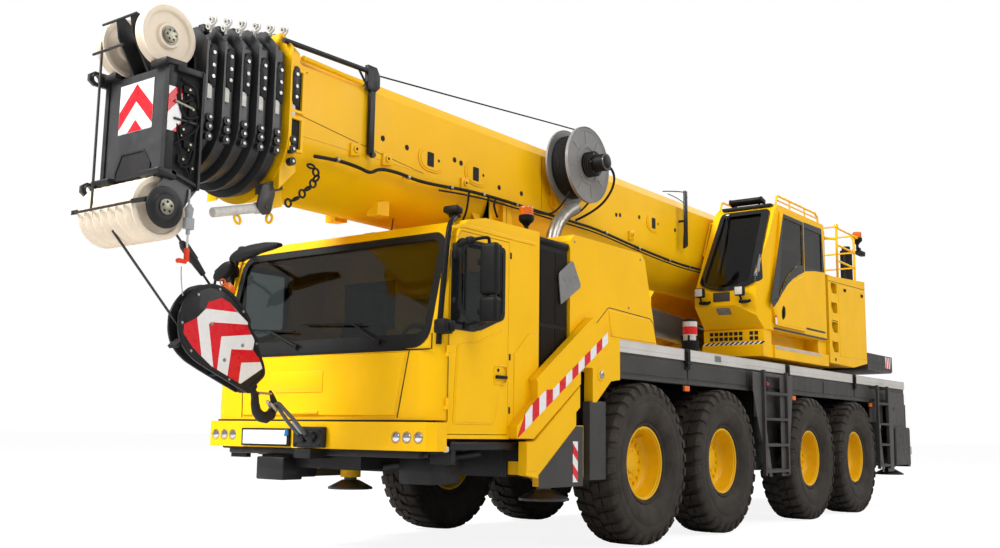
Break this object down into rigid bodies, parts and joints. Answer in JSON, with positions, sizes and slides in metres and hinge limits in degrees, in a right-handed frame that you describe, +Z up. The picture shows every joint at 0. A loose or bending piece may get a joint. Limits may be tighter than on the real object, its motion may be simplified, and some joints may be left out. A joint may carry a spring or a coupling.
{
  "type": "mobile crane",
  "caption": "Wheeled mobile crane with a driver's cab, slewing upper works, a telescopic boom with a lift cylinder, a hook block and outriggers with jacks.",
  "frame": {"origin": "centre of the bounding box at ground level, under the machine", "axes": "+X to the machine's left, -Y forwards, +Z up"},
  "size_m": [3.06, 13.32, 3.9748],
  "materials": {
    "yellow_paint": "satin",
    "grey_paint": "satin",
    "black_paint": "satin",
    "black_plastic": "matte",
    "dark_glass": "gloss",
    "aluminium": "satin",
    "cast_iron": "rough",
    "cream_nylon": "satin",
    "chrome": "polished",
    "steel": "satin",
    "tyre": "matte"
  },
  "bodies": {
    "carrier": {"carrier_frame": "black_paint", "axle_beams": "black_paint", "deck": "aluminium", "side_panels": "grey_paint", "outrigger_boxes": "black_paint", "cab_shell": "yellow_paint", "cab_glass": "dark_glass", "cab_interior": "black_plastic", "bumper": "yellow_paint", "air_box": "black_plastic", "engine_block": "cast_iron", "engine_cover": "yellow_paint"},
    "front_door_left": {"cab_door_left": "yellow_paint", "cab_mirror_left": "black_plastic"},
    "front_door_right": {"cab_door_right": "yellow_paint", "cab_mirror_right": "black_plastic"},
    "knuckle_1_left": {"knuckle_1_left": "black_paint"},
    "wheel_1_left": {"wheel_1_left": "tyre"},
    "knuckle_1_right": {"knuckle_1_right": "black_paint"},
    "wheel_1_right": {"wheel_1_right": "tyre"},
    "knuckle_2_left": {"knuckle_2_left": "black_paint"},
    "wheel_2_left": {"wheel_2_left": "tyre"},
    "knuckle_2_right": {"knuckle_2_right": "black_paint"},
    "wheel_2_right": {"wheel_2_right": "tyre"},
    "knuckle_3_left": {"knuckle_3_left": "black_paint"},
    "wheel_3_left": {"wheel_3_left": "tyre"},
    "knuckle_3_right": {"knuckle_3_right": "black_paint"},
    "wheel_3_right": {"wheel_3_right": "tyre"},
    "knuckle_4_left": {"knuckle_4_left": "black_paint"},
    "wheel_4_left": {"wheel_4_left": "tyre"},
    "knuckle_4_right": {"knuckle_4_right": "black_paint"},
    "wheel_4_right": {"wheel_4_right": "tyre"},
    "beam_front_left": {"outrigger_beam_front_left": "yellow_paint"},
    "jack_front_left": {"outrigger_jack_front_left": "steel"},
    "beam_front_right": {"outrigger_beam_front_right": "yellow_paint"},
    "jack_front_right": {"outrigger_jack_front_right": "steel"},
    "beam_rear_left": {"outrigger_beam_rear_left": "grey_paint"},
    "jack_rear_left": {"outrigger_jack_rear_left": "steel"},
    "beam_rear_right": {"outrigger_beam_rear_right": "grey_paint"},
    "jack_rear_right": {"outrigger_jack_rear_right": "steel"},
    "superstructure": {"turntable": "yellow_paint", "counterweight": "grey_paint", "machine_cabinets": "yellow_paint", "upper_cab_shell": "yellow_paint", "upper_cab_glass": "dark_glass"},
    "upper_door": {"upper_cab_door": "yellow_paint"},
    "hoist_drum": {"hoist_drum": "black_paint"},
    "boom": {"boom_base": "yellow_paint", "cable_reel": "grey_paint"},
    "boom_section_1": {"boom_section_1": "grey_paint"},
    "boom_section_2": {"boom_section_2": "grey_paint"},
    "boom_section_3": {"boom_section_3": "grey_paint"},
    "boom_section_4": {"boom_section_4": "grey_paint"},
    "boom_section_5": {"boom_section_5": "grey_paint"},
    "boom_section_6": {"boom_section_6": "grey_paint", "head_sheaves": "cream_nylon"},
    "hook_block": {"hook_block": "black_paint"},
    "hook": {"hook": "black_paint"},
    "lift_barrel": {"lift_cylinder_barrel": "grey_paint"},
    "lift_rod": {"lift_cylinder_rod": "chrome"}
  },
  "joints": [
    {"name": "front_door_left_hinge", "type": "hinge", "parent": "carrier", "child": "front_door_left", "pos_m": [1.25, -4.625, 1.4], "axis": [0, 0, -1], "range_deg": [0, 70]},
    {"name": "front_door_right_hinge", "type": "hinge", "parent": "carrier", "child": "front_door_right", "pos_m": [-1.25, -4.625, 1.4], "axis": [0, 0, 1], "range_deg": [0, 70]},
    {"name": "steer_1_left", "type": "hinge", "parent": "carrier", "child": "knuckle_1_left", "pos_m": [0.985, -1.83, 0.735], "axis": [0, 0, 1], "range_deg": [-30, 30]},
    {"name": "wheel_1_left_spin", "type": "hinge", "parent": "knuckle_1_left", "child": "wheel_1_left", "pos_m": [1.1525, -1.83, 0.735], "axis": [1, 0, 0], "continuous": true},
    {"name": "steer_1_right", "type": "hinge", "parent": "carrier", "child": "knuckle_1_right", "pos_m": [-0.985, -1.83, 0.735], "axis": [0, 0, 1], "range_deg": [-30, 30]},
    {"name": "wheel_1_right_spin", "type": "hinge", "parent": "knuckle_1_right", "child": "wheel_1_right", "pos_m": [-1.1525, -1.83, 0.735], "axis": [1, 0, 0], "continuous": true},
    {"name": "steer_2_left", "type": "hinge", "parent": "carrier", "child": "knuckle_2_left", "pos_m": [0.985, -0.18, 0.735], "axis": [0, 0, 1], "range_deg": [-13, 13]},
    {"name": "wheel_2_left_spin", "type": "hinge", "parent": "knuckle_2_left", "child": "wheel_2_left", "pos_m": [1.1525, -0.18, 0.735], "axis": [1, 0, 0], "continuous": true},
    {"name": "steer_2_right", "type": "hinge", "parent": "carrier", "child": "knuckle_2_right", "pos_m": [-0.985, -0.18, 0.735], "axis": [0, 0, 1], "range_deg": [-13, 13]},
    {"name": "wheel_2_right_spin", "type": "hinge", "parent": "knuckle_2_right", "child": "wheel_2_right", "pos_m": [-1.1525, -0.18, 0.735], "axis": [1, 0, 0], "continuous": true},
    {"name": "steer_3_left", "type": "hinge", "parent": "carrier", "child": "knuckle_3_left", "pos_m": [0.985, 2.27, 0.735], "axis": [0, 0, 1], "range_deg": [-13, 13]},
    {"name": "wheel_3_left_spin", "type": "hinge", "parent": "knuckle_3_left", "child": "wheel_3_left", "pos_m": [1.1525, 2.27, 0.735], "axis": [1, 0, 0], "continuous": true},
    {"name": "steer_3_right", "type": "hinge", "parent": "carrier", "child": "knuckle_3_right", "pos_m": [-0.985, 2.27, 0.735], "axis": [0, 0, 1], "range_deg": [-13, 13]},
    {"name": "wheel_3_right_spin", "type": "hinge", "parent": "knuckle_3_right", "child": "wheel_3_right", "pos_m": [-1.1525, 2.27, 0.735], "axis": [1, 0, 0], "continuous": true},
    {"name": "steer_4_left", "type": "hinge", "parent": "carrier", "child": "knuckle_4_left", "pos_m": [0.985, 3.92, 0.735], "axis": [0, 0, 1], "range_deg": [-30, 30]},
    {"name": "wheel_4_left_spin", "type": "hinge", "parent": "knuckle_4_left", "child": "wheel_4_left", "pos_m": [1.1525, 3.92, 0.735], "axis": [1, 0, 0], "continuous": true},
    {"name": "steer_4_right", "type": "hinge", "parent": "carrier", "child": "knuckle_4_right", "pos_m": [-0.985, 3.92, 0.735], "axis": [0, 0, 1], "range_deg": [-30, 30]},
    {"name": "wheel_4_right_spin", "type": "hinge", "parent": "knuckle_4_right", "child": "wheel_4_right", "pos_m": [-1.1525, 3.92, 0.735], "axis": [1, 0, 0], "continuous": true},
    {"name": "outrigger_front_left_out", "type": "slide", "parent": "carrier", "child": "beam_front_left", "axis": [1, 0, 0], "range_m": [0, 1.6]},
    {"name": "outrigger_front_left_down", "type": "slide", "parent": "beam_front_left", "child": "jack_front_left", "axis": [0, 0, -1], "range_m": [0, 0.54]},
    {"name": "outrigger_front_right_out", "type": "slide", "parent": "carrier", "child": "beam_front_right", "axis": [-1, 0, 0], "range_m": [0, 1.6]},
    {"name": "outrigger_front_right_down", "type": "slide", "parent": "beam_front_right", "child": "jack_front_right", "axis": [0, 0, -1], "range_m": [0, 0.54]},
    {"name": "outrigger_rear_left_out", "type": "slide", "parent": "carrier", "child": "beam_rear_left", "axis": [1, 0, 0], "range_m": [0, 1.6]},
    {"name": "outrigger_rear_left_down", "type": "slide", "parent": "beam_rear_left", "child": "jack_rear_left", "axis": [0, 0, -1], "range_m": [0, 0.54]},
    {"name": "outrigger_rear_right_out", "type": "slide", "parent": "carrier", "child": "beam_rear_right", "axis": [-1, 0, 0], "range_m": [0, 1.6]},
    {"name": "outrigger_rear_right_down", "type": "slide", "parent": "beam_rear_right", "child": "jack_rear_right", "axis": [0, 0, -1], "range_m": [0, 0.54]},
    {"name": "slew", "type": "hinge", "parent": "carrier", "child": "superstructure", "pos_m": [0, 2.32, 1.9], "axis": [0, 0, 1], "continuous": true},
    {"name": "upper_door_slide", "type": "slide", "parent": "superstructure", "child": "upper_door", "axis": [0, 1, 0], "range_m": [0, 0.75]},
    {"name": "hoist_turn", "type": "hinge", "parent": "superstructure", "child": "hoist_drum", "pos_m": [0, 5.57, 2.76], "axis": [1, 0, 0], "continuous": true},
    {"name": "luff", "type": "hinge", "parent": "superstructure", "child": "boom", "pos_m": [0, 4.47, 3.15], "axis": [-1, 0, 0], "range_deg": [0, 82]},
    {"name": "telescope_1", "type": "slide", "parent": "boom", "child": "boom_section_1", "axis": [0, -1, 0], "range_m": [0, 7.8]},
    {"name": "telescope_2", "type": "slide", "parent": "boom_section_1", "child": "boom_section_2", "axis": [0, -1, 0], "range_m": [0, 7.8]},
    {"name": "telescope_3", "type": "slide", "parent": "boom_section_2", "child": "boom_section_3", "axis": [0, -1, 0], "range_m": [0, 7.8]},
    {"name": "telescope_4", "type": "slide", "parent": "boom_section_3", "child": "boom_section_4", "axis": [0, -1, 0], "range_m": [0, 7.8]},
    {"name": "telescope_5", "type": "slide", "parent": "boom_section_4", "child": "boom_section_5", "axis": [0, -1, 0], "range_m": [0, 7.8]},
    {"name": "telescope_6", "type": "slide", "parent": "boom_section_5", "child": "boom_section_6", "axis": [0, -1, 0], "range_m": [0, 7.8]},
    {"name": "block_swing", "type": "hinge", "parent": "boom_section_6", "child": "hook_block", "pos_m": [0, -6.45, 2.41], "axis": [-1, 0, 0], "range_deg": [-38.01, 0]},
    {"name": "hook_turn", "type": "hinge", "parent": "hook_block", "child": "hook", "pos_m": [0, -5.69282, 1.62592], "axis": [0, 0.6947, -0.7193], "continuous": true},
    {"name": "lift_barrel_swing", "type": "hinge", "parent": "superstructure", "child": "lift_barrel", "pos_m": [0, 2.47, 2.2], "axis": [-1, 0, 0], "range_deg": [0, 90.8]},
    {"name": "lift_rod_stroke", "type": "slide", "parent": "lift_barrel", "child": "lift_rod", "axis": [0, -0.9973, 0.073], "range_m": [0, 2.815]}
  ],
  "couplings": [
    {"joint": "steer_1_right", "follows": "steer_1_left", "ratio": 1},
    {"joint": "steer_2_left", "follows": "steer_1_left", "ratio": 0.43},
    {"joint": "steer_2_right", "follows": "steer_1_left", "ratio": 0.43},
    {"joint": "steer_3_left", "follows": "steer_1_left", "ratio": -0.43},
    {"joint": "steer_3_right", "follows": "steer_1_left", "ratio": -0.43},
    {"joint": "steer_4_left", "follows": "steer_1_left", "ratio": -1},
    {"joint": "steer_4_right", "follows": "steer_1_left", "ratio": -1},
    {"joint": "telescope_2", "follows": "telescope_1", "ratio": 1},
    {"joint": "telescope_3", "follows": "telescope_1", "ratio": 1},
    {"joint": "telescope_4", "follows": "telescope_1", "ratio": 1},
    {"joint": "telescope_5", "follows": "telescope_1", "ratio": 1},
    {"joint": "telescope_6", "follows": "telescope_1", "ratio": 1},
    {"joint": "block_swing", "follows": "luff", "ratio": -0.46342},
    {"joint": "lift_barrel_swing", "follows": "luff", "ratio": 1.1062},
    {"joint": "lift_rod_stroke", "follows": "luff", "m_per_rad": 1.966}
  ]
}
